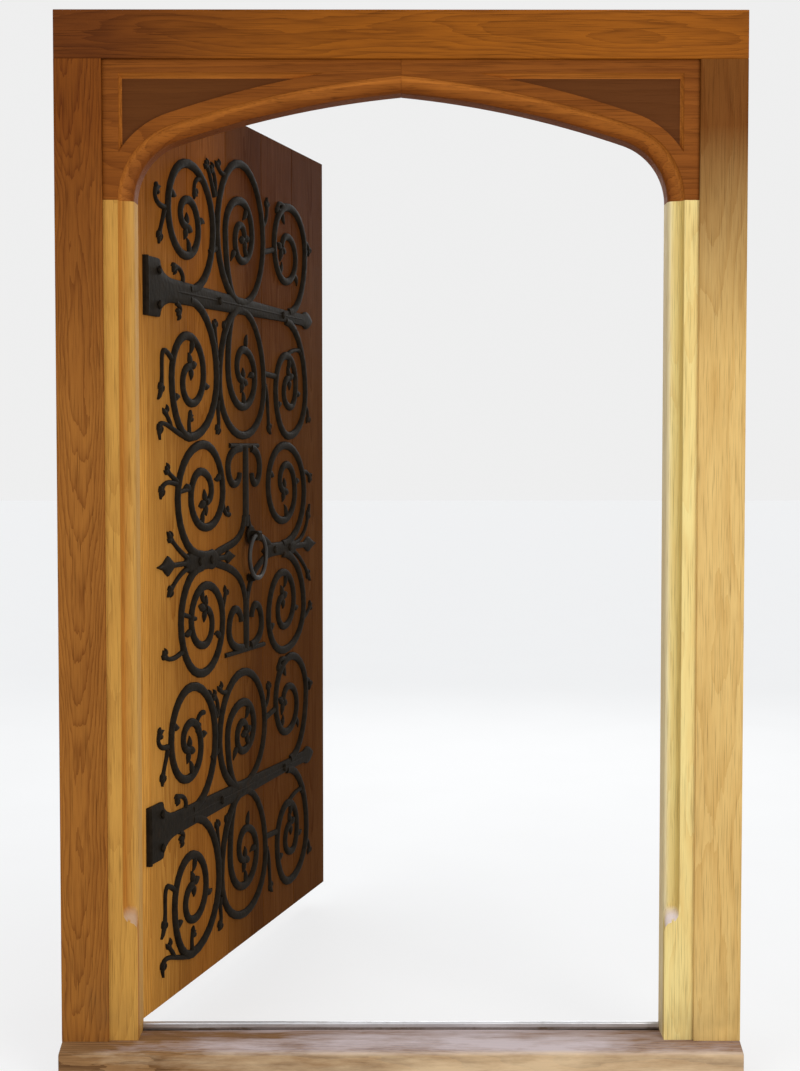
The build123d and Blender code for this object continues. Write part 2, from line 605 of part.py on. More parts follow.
def middle_pattern():
    """The loose middle piece: four scrolls off two collars, a short stem above and one below."""
    shapes = [scroll([(390, 14), (252, 150), (402, 276), (515, 162), (418, 78), (326, 150), (386, 212),
                      (446, 166), (414, 138)]),
              scroll([(390, -14), (266, -138), (394, -268), (511, -150), (414, -60), (324, -137), (398, -202),
                      (446, -155), (410, -116)]),
              scroll([(923, 10), (1091, 149), (945, 276), (818, 171), (927, 74), (1018, 150), (959, 224),
                      (905, 184), (932, 156)]),
              scroll([(923, -14), (1086, -165), (936, -276), (818, -178), (923, -65), (1007, -140), (936, -212),
                      (886, -166), (920, -132)])]
    # collars, and the pointed ends that grow from them
    shapes.append(both_ways([(143, 0), (172, 8), (200, 24), (228, 6), (290, 6), (302, 19), (470, 19), (482, 6),
                             (530, 6), (548, 15), (584, 0)]))
    end = PATTERN_START + PATTERN_REACH - FINIAL_LENGTH + MIDDLE_END_SHIFT
    shapes.append(both_ways([(775, 0), (800, 11), (820, 14), (1005, 14), (1020, 7),
                             *finial(end, 7, FINIAL_LENGTH, MIDDLE_END_HALF)]))
    # the stem above, its crossbar and its splayed foot
    stem = STEM_U
    shapes.append(bar([(stem, 272), (stem, 70)], 26, 30))
    shapes.append(bar([(stem - 106, 274), (stem + 82, 274)], 13, 13))
    shapes.append(scroll([(stem - 34, 268), (stem - 118, 222), (stem - 76, 178), (stem - 42, 206)]))
    shapes.append(scroll([(stem + 34, 268), (stem + 92, 222), (stem + 62, 178), (stem + 38, 204)]))
    shapes.append(bar(sweep_of([(stem - 11, 96), (stem - 26, 20), (stem - 106, 34), (466, 10)]),
                      SCROLL_BAR, SCROLL_BAR))
    shapes.append(bar(sweep_of([(stem + 12, 96), (stem + 24, 30), (stem + 114, 52), (838, 8)]),
                      SCROLL_BAR, SCROLL_BAR))
    # the stem below
    shapes.append(bar([(stem, -96), (stem, -246)], 28, 26))
    shapes.append(bar([(stem - 138, -243), (stem + 122, -243)], 13, 13))
    shapes.append(scroll([(stem - 26, -236), (stem - 116, -186), (stem - 74, -134), (stem - 36, -168)]))
    shapes.append(scroll([(stem + 26, -236), (stem + 102, -186), (stem + 64, -134), (stem + 34, -164)]))
    shapes.append(bar(sweep_of([(468, -10), (stem - 106, -28), (stem - 26, -40), (stem - 8, -112)]),
                      SCROLL_BAR, SCROLL_BAR))
    shapes.append(bar(sweep_of([(828, -8), (stem + 104, -26), (stem + 28, -44), (stem + 8, -112)]),
                      SCROLL_BAR, SCROLL_BAR))
    # the pad that the knocker is bolted to
    pad = fitted([(KNOCKER_U, KNOCKER_V)])[0]
    shapes.append(Pos(*pad) * RegularPolygon(BOSS_RADIUS + PAD_MARGIN, BOSS_SIDES))
    # tendrils
    shapes.append(tendril((306, 12), (254, 34), (226, 52), (196, 78)))
    shapes.append(tendril((306, -12), (254, -24), (226, -46), (196, -70)))
    shapes.append(tendril((1000, 8), (1090, 8), (1124, 60), (1136, 112)))
    shapes.append(tendril((1000, -8), (1060, -30), (1118, -70), (1140, -104)))
    shapes.append(tendril((258, 186), (225, 205), (206, 206), (190, 226)))
    shapes.append(tendril((258, 184), (215, 190), (165, 200), (162, 152)))
    shapes.append(tendril((284, -200), (220, -222), (180, -214), (172, -188)))
    shapes.append(tendril((1078, 200), (1110, 210), (1130, 196), (1152, 178)))
    shapes.append(tendril((1076, -205), (1110, -200), (1130, -182), (1152, -168)))
    shapes.append(tendril((512, 140), (530, 100), (546, 100), (552, 112)))
    shapes.append(tendril((506, -141), (524, -100), (530, -90), (534, -84)))
    shapes.append(bar([(258, 166), (322, 172)], TENDRIL_BAR, TENDRIL_BAR))
    shapes.append(bar([(268, -114), (350, -134)], TENDRIL_BAR, TENDRIL_BAR))
    return shapes


KNOCKER_U = STEM_U + KNOCKER_OFFSET


def to_leaf(u, v, axis_z):
    """A point of a pattern, in X and Z on the closed leaf."""
    return (-LEAF_HALF + IRON_START + (u - PATTERN_START) * U_SCALE, axis_z + v * V_SCALE)


def in_board(number, share):
    """How far along a pattern a place on a face board lies, given as a share of the board's width."""
    joints = [0.0, *BOARD_JOINTS, 1.0]
    left, right = joints[number - 1], joints[number]
    from_edge = (left + (right - left) * share) * LEAF_WIDTH
    return PATTERN_START + (from_edge - IRON_START) / U_SCALE


PLATE_SCREW_U = PATTERN_START + PLATE_LENGTH - PLATE_SCREW_EDGE
STRAP_SCREWS = ((PLATE_SCREW_U, PLATE_SCREW_HEIGHT), (PLATE_SCREW_U, -PLATE_SCREW_HEIGHT),
                (in_board(3, 0.75), 0), (in_board(5, 0.6), 0))
MIDDLE_SCREWS = ((in_board(3, 0.2), 0), (in_board(3, 0.5), 0), (in_board(5, 0.3), 0), (in_board(5, 0.8), 0))
SCREW_HOLE = SCREW_NECK + SCREW_HOLE_CLEARANCE


def forged(shapes, screws, axis_z):
    """Weld a pattern's bars into one forging of even thickness on the leaf's face, with square screw holes."""
    x, z = to_leaf(0, 0, axis_z)
    place = Plane((x, LEAF_FACE, z), x_dir=(1, 0, 0), z_dir=(0, -1, 0))
    outline = shapes[0]
    for shape in shapes[1:]:
        outline += shape
    hole = Rectangle(SCREW_HOLE, SCREW_HOLE)
    return extrude(place * (outline - [Pos(u, v) * hole for u, v in fitted(screws)]), IRON_THICKNESS)


# Coach screws: where they stand in the patterns, as distance along and height

SCREWS = [to_leaf(u, v, z) for z in (UPPER_Z, LOWER_Z) for u, v in STRAP_SCREWS]
SCREWS += [to_leaf(u, v, MIDDLE_Z) for u, v in MIDDLE_SCREWS]
SCREW_END = IRON_FACE + SCREW_LENGTH


def screw_holes():
    half = SCREW_HOLE / 2
    return [block(x - half, x + half, IRON_FACE - 1, SCREW_END, z - half, z + half) for x, z in SCREWS]


def screw(x, z):
    """A coach screw with a bevelled square head, its shank drawn square."""
    half = SCREW_NECK / 2
    neck = block(x - half, x + half, IRON_FACE, SCREW_END, z - half, z + half)
    seat = Plane((x, IRON_FACE, z), z_dir=(0, -1, 0))
    return neck + bossed(seat, 4, SCREW_HEAD_RADIUS, SCREW_HEAD_HEIGHT, SCREW_HEAD_HEIGHT / 2)


# The knocker: a ring whose two ends turn in a boss, and the stud that it strikes

KNOCKER_X, KNOCKER_Z = to_leaf(KNOCKER_U, KNOCKER_V, MIDDLE_Z)
RING_Y = IRON_FACE - RING_STANDOFF
RING_DROP = math.sqrt(RING_RADIUS ** 2 - PIVOT_SPREAD ** 2)


def knocker_boss():
    seat = Plane((KNOCKER_X, IRON_FACE, KNOCKER_Z), x_dir=(1, 0, 0), z_dir=(0, -1, 0))
    rose = bossed(seat, BOSS_SIDES, BOSS_RADIUS, BOSS_BASE, BOSS_BASE / 2)
    stem = block(KNOCKER_X - BOSS_WIDTH / 2, KNOCKER_X + BOSS_WIDTH / 2, IRON_FACE - BOSS_REACH, IRON_FACE,
                 KNOCKER_Z - BOSS_HEIGHT / 2, KNOCKER_Z + BOSS_HEIGHT / 2)
    stem = chamfer(stem.faces().sort_by(Axis.Y)[0].edges(), BOSS_HEIGHT / 5)
    bore = Cylinder(RING_BAR + RING_BORE_CLEARANCE, BOSS_WIDTH + 2)
    return rose + stem - Pos(KNOCKER_X, RING_Y, KNOCKER_Z) * Rot(0, 90, 0) * bore


def knocker_ring():
    """A forged ring of eight-sided bar, open at the top, with its ends turned in as pivots."""
    start = math.atan2(RING_DROP, PIVOT_SPREAD)
    arc = 2 * math.pi - (math.pi - 2 * start)
    line = [(PIVOT_INNER, 0)]
    for i in range(RING_FACETS + 1):
        a = start - arc * i / RING_FACETS
        line.append((RING_RADIUS * math.cos(a), RING_RADIUS * math.sin(a) - RING_DROP))
    line.append((-PIVOT_INNER, 0))
    place = Plane((KNOCKER_X, RING_Y, KNOCKER_Z), x_dir=(1, 0, 0), z_dir=(0, -1, 0))
    path = place * Polyline(*line)
    section = Plane(path @ 0, x_dir=(0, 0, 1), z_dir=(1, 0, 0)) * RegularPolygon(RING_BAR, 8)
    return sweep(section, path, transition=Transition.RIGHT)


def knocker_stud():
    """The stud stands on the boards behind the lowest point of the ring."""
    tip = RING_Y + RING_BAR + STUD_GAP
    seat = Plane((KNOCKER_X, LEAF_FACE, KNOCKER_Z - RING_DROP - RING_RADIUS), z_dir=(0, -1, 0))
    return bossed(seat, STUD_SIDES, STUD_RADIUS, LEAF_FACE - tip, STUD_RADIUS / 3)


# The lock, in the leaf's free edge

LOCK_Z = LEAF_BOTTOM + LOCK_FROM_BOTTOM
LOCK_Y = FRAMING_FACE


def centred(x0, x1, thickness, height, grow=0.0):
    """A block about the lock's own centre line."""
    return block(x0, x1, LOCK_Y - thickness / 2 - grow, LOCK_Y + thickness / 2 + grow,
                 LOCK_Z - height / 2 - grow, LOCK_Z + height / 2 + grow)


FOREND_BACK = LEAF_HALF - FOREND_THICKNESS
CASE_BACK = LEAF_HALF - CASE_DEPTH
BOLT_BACK = LEAF_HALF - LOCK_BOLT_LENGTH
KEYHOLE_X = LEAF_HALF - KEYHOLE_INSET


def lock_bolt():
    return centred(BOLT_BACK, LEAF_HALF, LOCK_BOLT_THICKNESS, LOCK_BOLT_HEIGHT)


def bolt_way():
    clear = LOCK_BOLT_CLEARANCE
    return centred(BOLT_BACK - clear, LEAF_HALF + 1, LOCK_BOLT_THICKNESS, LOCK_BOLT_HEIGHT, clear)


def forend():
    return centred(FOREND_BACK, LEAF_HALF, FOREND_WIDTH, FOREND_HEIGHT)


def case():
    return centred(CASE_BACK, FOREND_BACK, CASE_THICKNESS, CASE_HEIGHT)


def keyhole():
    """A round hole with a slot below it, from the case out through the inner face."""
    z = LOCK_Z - LOCK_BOLT_HEIGHT / 2 - 2 * KEYHOLE_RADIUS
    half = KEYHOLE_SLOT / 2
    y0, y1 = LOCK_Y - CASE_THICKNESS / 2, LEAF_BACK + ESCUTCHEON_THICKNESS
    eye = Plane((KEYHOLE_X, y0, z), z_dir=(0, 1, 0)) * RegularPolygon(KEYHOLE_RADIUS, 8)
    return extrude(eye, y1 - y0) + block(KEYHOLE_X - half, KEYHOLE_X + half, y0, y1, z - KEYHOLE_LENGTH, z)


def key_escutcheon():
    z = LOCK_Z - LOCK_BOLT_HEIGHT / 2 - 2 * KEYHOLE_RADIUS - KEYHOLE_LENGTH / 3
    half = ESCUTCHEON_WIDTH / 2
    plate = block(KEYHOLE_X - half, KEYHOLE_X + half, LEAF_BACK, LEAF_BACK + ESCUTCHEON_THICKNESS,
                  z - ESCUTCHEON_HEIGHT / 2, z + ESCUTCHEON_HEIGHT / 2)
    return chamfer(plate.edges().filter_by(Axis.Y), ESCUTCHEON_WIDTH / 5) - keyhole()


def strike_blank():
    return centred(REBATE_FACE, REBATE_FACE + STRIKE_THICKNESS, STRIKE_WIDTH, STRIKE_HEIGHT)


def bolt_pocket():
    """The hole in the post and its plate that the bolt is thrown into."""
    deep = REBATE_FACE + LOCK_BOLT_THROW + STRIKE_CLEARANCE
    return centred(REBATE_FACE, deep, LOCK_BOLT_THICKNESS, LOCK_BOLT_HEIGHT, STRIKE_CLEARANCE)


# Every piece by name, where it stands with the leaf open

parts = {
    "sill": sill(),
    "weather_bar": weather_bar(),
    "head_beam": head_beam(),
    "right_lining": right_lining(),
    "right_arch_half": right_arch_half(),
    "right_post": post() - strike_blank() - bolt_pocket(),
    "left_post": other_side(post()) - [hinge_housing(z, -1) for z in HINGES.values()],
    "strike_plate": strike_blank() - bolt_pocket(),
}
parts["left_lining"] = other_side(parts["right_lining"])
parts["left_arch_half"] = other_side(parts["right_arch_half"])

leaf = {
    "hinge_stile": other_side(stile()) - [hinge_housing(z, 1) for z in HINGES.values()],
    "lock_stile": stile() - forend() - case() - keyhole(),
    "lock_case": case() - bolt_way() - keyhole(),
    "lock_forend": forend() - bolt_way(),
    "lock_bolt": lock_bolt(),
    "key_escutcheon": key_escutcheon(),
    "upper_strap_work": forged(hinge_pattern(UPPER_CROWN), STRAP_SCREWS, UPPER_Z),
    "middle_scroll_work": forged(middle_pattern(), MIDDLE_SCREWS, MIDDLE_Z),
    "lower_strap_work": forged(hinge_pattern(LOWER_CROWN), STRAP_SCREWS, LOWER_Z),
    "ironwork_screws": Compound([screw(x, z) for x, z in SCREWS]),
    "knocker_boss": knocker_boss(),
    "knocker_ring": knocker_ring(),
    "knocker_stud": knocker_stud(),
}
for name, (low, high) in RAILS.items():
    leaf[name] = rail(low, high) - screw_holes()
for number, plank in enumerate(boards(), start=1):
    leaf[f"face_board_{number}"] = plank - screw_holes() - forend() - case() - [
        hinge_housing(z, 1) for z in HINGES.values()]

for name, z in HINGES.items():
    parts[f"{name}_hinge_frame_flap"] = flap(z, -1)
    parts[f"{name}_hinge_pin"] = hinge_pin(z)
    leaf[f"{name}_hinge_leaf_flap"] = flap(z, 1)

for name, shape in leaf.items():
    parts[name] = opened(shape)

os.makedirs("parts", exist_ok=True)
for name, shape in parts.items():
    export_step(shape, f"parts/{name}.step")
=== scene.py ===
import json
import math

import bmesh
import bpy
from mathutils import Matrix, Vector


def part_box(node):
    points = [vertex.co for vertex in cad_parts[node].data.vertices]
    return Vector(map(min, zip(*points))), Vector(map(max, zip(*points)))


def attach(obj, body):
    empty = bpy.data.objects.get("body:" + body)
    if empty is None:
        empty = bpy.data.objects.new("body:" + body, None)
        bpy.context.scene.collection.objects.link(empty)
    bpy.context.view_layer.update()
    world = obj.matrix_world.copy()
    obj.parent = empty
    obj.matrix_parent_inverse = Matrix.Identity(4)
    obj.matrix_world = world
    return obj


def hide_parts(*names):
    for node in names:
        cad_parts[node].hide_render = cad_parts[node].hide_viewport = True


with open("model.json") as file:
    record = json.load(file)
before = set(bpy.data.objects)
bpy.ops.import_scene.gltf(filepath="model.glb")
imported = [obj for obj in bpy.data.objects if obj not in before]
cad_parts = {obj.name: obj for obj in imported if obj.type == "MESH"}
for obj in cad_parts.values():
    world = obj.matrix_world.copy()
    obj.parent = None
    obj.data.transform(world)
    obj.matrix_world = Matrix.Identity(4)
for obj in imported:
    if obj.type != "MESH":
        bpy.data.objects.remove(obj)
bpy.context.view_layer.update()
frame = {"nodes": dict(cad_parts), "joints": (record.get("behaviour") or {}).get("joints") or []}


# The sill: one heavy length of oak, weathered on top so that rain runs off, with a rounded nosing.
# Feet have scuffed its top pale and grey, and the posts' tenons go down into it.

class Sock:
    """A socket of a material, used in expressions: each operator adds the node that works it out."""

    def __init__(self, tree, socket):
        self.tree, self.socket = tree, socket

    def node(self, kind, settings=None, inputs=None, output=0):
        """Any other node: its type, its settings, what goes into it, and which of its outputs is wanted."""
        made = self.tree.nodes.new("ShaderNode" + kind)
        for key, value in (settings or {}).items():
            setattr(made, key, value)
        for key, value in (inputs or {}).items():
            if isinstance(value, Sock):
                self.tree.links.new(value.socket, made.inputs[key])
            else:
                made.inputs[key].default_value = value
        return Sock(self.tree, made.outputs[output])

    def maths(self, operation, first, second=0.0):
        return self.node("Math", {"operation": operation}, {0: first, 1: second})

    def __add__(self, other):
        return self.maths("ADD", self, other)

    def __sub__(self, other):
        return self.maths("SUBTRACT", self, other)

    def __rsub__(self, other):
        return self.maths("SUBTRACT", other, self)

    def __mul__(self, other):
        return self.maths("MULTIPLY", self, other)

    def __pow__(self, power):
        return self.maths("POWER", self, power)

    def __abs__(self):
        return self.maths("ABSOLUTE", self)

    __radd__, __rmul__ = __add__, __mul__

    def fraction(self):
        return self.maths("FRACT", self)

    def held(self, low, high):
        """This value, from 0 at low to 1 at high and no further."""
        return self.node("MapRange", {"clamp": True}, {0: self, 1: low, 2: high})

    def point(self, a, b, c):
        return self.node("CombineXYZ", None, {0: a, 1: b, 2: c})

    def parts(self):
        return [self.node("SeparateXYZ", None, {0: self}, k) for k in range(3)]

    def stretched(self, *factors):
        """This place, with its own factor along each axis."""
        return self.point(*(part * factor for part, factor in zip(self.parts(), factors)))

    def noise(self, scale, detail, rough=0.5):
        return self.node("TexNoise", None, {"Vector": self, "Scale": scale, "Detail": detail, "Roughness": rough})

    def colour(self, first, second):
        """From the first colour to the second as this value goes from 0 to 1."""
        values = {0: self}
        for key, value in ((6, first), (7, second)):
            values[key] = value if isinstance(value, Sock) else (*value, 1)
        return self.node("Mix", {"data_type": "RGBA"}, values, 2)

    def tinted(self, mask, gain):
        """This colour, multiplied by a gain in red, green and blue where the mask is 1."""
        return self.node("VectorMath", {"operation": "MULTIPLY"}, {0: self, 1: mask.colour((1.0, 1.0, 1.0), gain)})

    def bump(self, height, strength):
        return self.node("Bump", None, {"Height": self, "Distance": height, "Strength": strength})


def material(name, **fixed):
    """A new material, its shader with the sockets that stay the same all over, and its place on the piece."""
    made = bpy.data.materials.new(name)
    made.use_nodes = True
    shader = made.node_tree.nodes["Principled BSDF"]
    for key, value in fixed.items():
        shader.inputs[key.replace("_", " ")].default_value = value
    place = made.node_tree.nodes.new("ShaderNodeTexCoord").outputs["Object"]
    return made, shader, Sock(made.node_tree, place)


def feed(shader, **values):
    """Drive the shader's sockets, each named with underscores, by worked-out values."""
    for key, value in values.items():
        value.tree.links.new(value.socket, shader.inputs[key.replace("_", " ")])


def facing(place):
    """Which way the surface looks, in x, y and z."""
    return place.node("NewGeometry", output=1).parts()


swing = next(joint for joint in frame["joints"] if joint["name"] == "leaf_swing")
opened_by = math.radians(-swing["range_deg"][0])
cosine, sine = math.cos(opened_by), math.sin(opened_by)


def oak(node, light, dark, heart, lean, ring, seed, depth=0.62, keen=1.8, gloss=0.46, foot=0.0, level=False,
        on_leaf=False):
    """Oiled oak, sawn from a log whose heart lies behind the face: yearly rings, pores and a soft mottle.

    The heart is this far behind the face and leans by so much along the piece, a year's ring is this wide, and
    depth and keen say how dark and how narrow its late wood is. A foot is damp and dark up to this height.
    Gives the material, its shader, its place on the piece and its colour, for a section to go on with."""
    made, shader, place = material(f"oak_{node}", Specular_IOR_Level=0.01 if on_leaf else 0.08)
    low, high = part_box(node)
    middle = (low + high) / 2
    x, y, z = (axis - centre for axis, centre in zip(place.parts(), middle))
    if on_leaf:
        x, y = x * cosine + y * sine, y * cosine - x * sine
    run, across, deep = (x, z, y) if level else (z, x, y)

    def drawn_out(along, crosswise, shift, detail, rough=0.5, start=0.0):
        """Noise drawn out along the grain, with so many swings a metre along and across it."""
        spot = place.point(run * along + start, across * crosswise, deep * crosswise + shift)
        return spot.noise(1.0, detail, rough)

    wander = drawn_out(1.1, 5.0, 1.7 * seed, 3.0, start=2.3 * seed) - 0.5
    fibre = drawn_out(7.0, 70.0, seed, 3.0, 0.6)
    pores = drawn_out(9.0, 420.0, seed, 2.0, 0.7).held(0.52, 0.74)
    mottle = drawn_out(2.4, 11.0, -seed, 4.0, 0.55).held(0.3, 0.72)
    heart_aside, side_wander, back_wander, ring_fray = 0.02 * math.sin(2.4 * seed), 0.05, 0.06, 0.004
    side = across - heart_aside + wander * side_wander
    back = deep - heart + run * lean + wander * back_wander
    radius = (side ** 2.0 + back ** 2.0) ** 0.5 + (fibre - 0.5) * ring_fray
    late = (radius * (1 / ring)).fraction() ** keen
    tone = (late * depth + mottle * 0.34 + (fibre - 0.5) * 0.6).held(-0.05, 0.95)
    pore_colour = [0.4 * value for value in dark]
    body = (pores * 0.6).colour(tone.colour(light, dark), pore_colour)
    if foot:
        damp_height, damp_colour = 0.02, (0.12, 0.07, 0.03)
        damp = (z + middle.z).held(foot, damp_height) * place.noise(14.0, 4.0).held(0.25, 0.8)
        body = (damp * 0.55).colour(body, damp_colour)
    grain_relief = 0.0005
    feed(shader, Base_Color=body, Roughness=late * 0.10 + pores * 0.2 + mottle * 0.08 + gloss,
         Normal=(fibre * 0.25 - pores * 0.7 - late * 0.35).bump(grain_relief, 0.5))
    return made, shader, place, body


def eased(node, name, finish, body, arris=0.0014, turn=38):
    """A piece as the saw and plane leave it, with its arrises taken off by hand."""
    same_point, same_plane = 1e-5, math.radians(0.6)
    work = bmesh.new()
    work.from_mesh(frame["nodes"][node].data)
    bmesh.ops.remove_doubles(work, verts=work.verts, dist=same_point)
    bmesh.ops.dissolve_limit(work, angle_limit=same_plane, verts=work.verts, edges=work.edges)
    dressed(work, name, finish, body, [node], arris, turn)


def dressed(work, name, finish, body, stands_for, arris=0.0, turn=38):
    """Turn worked mesh into a piece that rides on its body and stands for its plain solids.

    Edges that turn by more degrees than turn stay sharp, and an arris this wide is taken off them."""
    mesh = bpy.data.meshes.new(name)
    for layer in list(work.loops.layers.float_vector):
        work.loops.layers.float_vector.remove(layer)
    work.to_mesh(mesh)
    work.free()
    mesh.shade_smooth()
    mesh.set_sharp_from_angle(angle=math.radians(turn))
    mesh.materials.clear()
    mesh.materials.append(finish)
    piece = bpy.data.objects.new(name, mesh)
    bpy.context.scene.collection.objects.link(piece)
    if arris:
        bevel = piece.modifiers.new("arris", "BEVEL")
        bevel.width, bevel.segments = arris, 2
        bevel.limit_method, bevel.angle_limit = "ANGLE", math.radians(turn)
        bevel.use_clamp_overlap = True
        piece.modifiers.new("even_light", "WEIGHTED_NORMAL").keep_sharp = True
    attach(piece, body)
    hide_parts(*stands_for)


sill_oak, sill_shader, sill_place, sill_wood = oak("sill", (0.38, 0.20, 0.080), (0.13, 0.058, 0.022), level=True,
                                                   heart=0.10, lean=0.012, ring=0.006, seed=0.6, gloss=0.55)
scuffed_grey, rubbed_and_highlit = (0.74, 0.64, 0.65), (0.84, 0.62, 0.38)
path_middle, path_fall = 0.16, 2.2
nosing_start, nosing_full = -0.026, -0.036
sill_x, sill_y, _ = sill_place.parts()
sill_scuffs = sill_place.stretched(2.6, 15.0, 15.0).noise(1.0, 6.0, 0.68)
trodden = 1 - (sill_x - path_middle) ** 2.0 * path_fall
sill_worn = facing(sill_place)[2].held(0.35, 0.9) * (sill_scuffs + trodden * 0.20).held(0.48, 0.74)
sill_nosing = sill_y.held(nosing_start, nosing_full) * (sill_scuffs + trodden * 0.16).held(0.42, 0.76)
sill_colour = (sill_worn * 0.82).colour(sill_wood, scuffed_grey)
# The nosing is painted paler, partly rubbed bare by feet and partly a painted highlight along its rounded arris.
feed(sill_shader, Base_Color=(sill_nosing * 0.8).colour(sill_colour, rubbed_and_highlit))
eased("sill", "sill_of_oak", sill_oak, "frame", 0.003)


# The weather bar: a galvanised strip let into the sill along the doorway. It stands up just in front of the
# closed leaf and turns driven rain. Its foot is brown with painted shade where it meets the sill.

zinc, zinc_shader, zinc_place = material("galvanised_bar", Metallic=0.85)
dull_zinc, bright_zinc, dirt_and_shade_brown = (0.58, 0.58, 0.60), (0.74, 0.74, 0.76), (0.15, 0.105, 0.075)
foot_shade_start, foot_shade_full, foot_shade_waver = 0.0815, 0.0795, 0.004
zinc_spangle = zinc_place.stretched(6.0, 90.0, 60.0).noise(1.0, 5.0, 0.6)
zinc_dirt = zinc_place.noise(22.0, 5.0, 0.6).held(0.45, 0.75)
# Painted shade: the bar's foot is darkened where it meets the sill. The mottle above it is dirt.
zinc_foot_shade = (zinc_place.parts()[2] + (zinc_spangle - 0.5) * foot_shade_waver).held(foot_shade_start, foot_shade_full)
zinc_bare = zinc_spangle.held(0.3, 0.7).colour(dull_zinc, bright_zinc)
feed(zinc_shader,
     Base_Color=(zinc_dirt * 0.4 + zinc_foot_shade * 0.75).held(0.0, 1.0).colour(zinc_bare, dirt_and_shade_brown),
     Roughness=zinc_dirt * 0.25 + zinc_spangle * 0.2 + 0.22,
     Normal=zinc_spangle.bump(0.0004, 0.4))
eased("weather_bar", "weather_bar_strip", zinc, "frame", 0.0012)


# The two posts and the head beam: sawn oak, 98 by 125 mm and 99 by 125 mm, tenoned together and oiled.
# The left post is flat sawn and shows its figure; the right one is plainer, and its paler colour is painted
# sunlight. Both have painted shade at the top, and so does the beam at its left end.

shade_full = 1.98
# Painted light and shade: the right post's pale colours stand for sunlight, and the shade tint darkens each post's
# top.
for side, light, dark, cut, shade_start, shade_tint in (
        ("left", (0.395, 0.148, 0.024), (0.185, 0.054, 0.007),
         {"heart": 0.045, "lean": 0.018, "ring": 0.0026, "depth": 0.62, "keen": 3.0, "seed": 1.3},
         1.35, (0.58, 0.42, 0.22)),
        ("right", (0.83, 0.56, 0.205), (0.60, 0.34, 0.095),
         {"heart": 0.13, "lean": 0.005, "ring": 0.0060, "depth": 0.4, "keen": 1.8, "seed": 2.1},
         1.50, (0.235, 0.115, 0.042))):
    post_oak, post_shader, post_place, post_wood = oak(f"{side}_post", light, dark, foot=0.3, **cut)
    shaded = post_place.parts()[2].held(shade_start, shade_full)
    feed(post_shader, Base_Color=post_wood.tinted(shaded, shade_tint))
    eased(f"{side}_post", f"{side}_post_of_oak", post_oak, "frame")
beam_oak, beam_shader, beam_place, beam_wood = oak("head_beam", (0.37, 0.108, 0.0065), (0.16, 0.042, 0.003),
                                                   level=True, heart=0.07, lean=0.010, ring=0.0045, depth=0.42,
                                                   seed=3.4)
# Painted shade on the beam's left end.
shaded_left_end = beam_place.parts()[0].held(-0.15, -0.6)
feed(beam_shader, Base_Color=beam_wood.tinted(shaded_left_end, (0.48, 0.42, 0.7)))
eased("head_beam", "head_beam_of_oak", beam_oak, "frame")


# The linings: two boards planted against the posts, 61 mm wide, with a hollow and a roll run along the
# daylight edge. The moulding ends above the sill in a curved stop, whose upturned face is painted pale, a painted
# reflection of the sky. Their oak is the palest of the frame, the right one paler still with painted sunlight,
# with painted shade in the hollow and a painted highlight on the roll.

def moulded(place, face):
    """Where a board's moulding is hollow and where it rolls out again, going by depth behind the board's face.

    Gives both, with that depth and how far the surface looks inward."""
    hollow_full, hollow_end, hollow_out, roll_start, roll_full = 0.004, 0.012, 0.019, 0.017, 0.021
    depth = place.parts()[1] - face
    inward = facing(place)[1]
    turned = inward.held(-0.99, -0.95)
    hollow = depth.held(0.0, hollow_full) * (1 - depth.held(hollow_end, hollow_out)) * turned
    return hollow, depth.held(roll_start, roll_full), depth, inward


above_stop, below_stop = 0.40, 0.38
for side, seed, light, dark, hollow_shade_tint, roll_highlight_tint, stop_reflection_colour in (
        ("left", 4.2, (0.66, 0.34, 0.070), (0.43, 0.19, 0.034),
         (0.86, 0.66, 0.48), (1.08, 1.12, 1.3), (0.55, 0.36, 0.23)),
        ("right", 5.7, (0.95, 0.77, 0.32), (0.80, 0.53, 0.17),
         (0.84, 0.78, 0.60), (1.02, 1.08, 1.5), (0.82, 0.70, 0.69))):
    lining_oak, lining_shader, lining_place, lining_wood = oak(f"{side}_lining", light, dark, heart=0.11, lean=0.008,
                                                               ring=0.0045, depth=0.34, seed=seed, foot=0.22)
    hollow, roll, _, _ = moulded(lining_place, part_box(f"{side}_lining")[0].y)
    # Painted shade in the hollow and a painted highlight on the roll.
    lining_wood = lining_wood.tinted(hollow, hollow_shade_tint).tinted(roll, roll_highlight_tint)
    # Painted reflection of the sky on the stop's upturned face.
    stop_reflection_mask = facing(lining_place)[2].held(0.12, 0.45) * lining_place.parts()[2].held(above_stop, below_stop)
    feed(lining_shader, Base_Color=(stop_reflection_mask * 0.85).colour(lining_wood, stop_reflection_colour))
    eased(f"{side}_lining", f"{side}_lining_of_oak", lining_oak, "frame", 0.001, 42)


# The arched head: two shaped boards that meet in a fine joint over the crown, moulded like the linings, with
# a spandrel sunk 12 mm in each corner. They are redder than the rest from their stain, and darker, partly stain
# and partly painted shade at the top of the doorway. The hollow carries a painted highlight, strongest under
# the crown, and the roll painted shade.

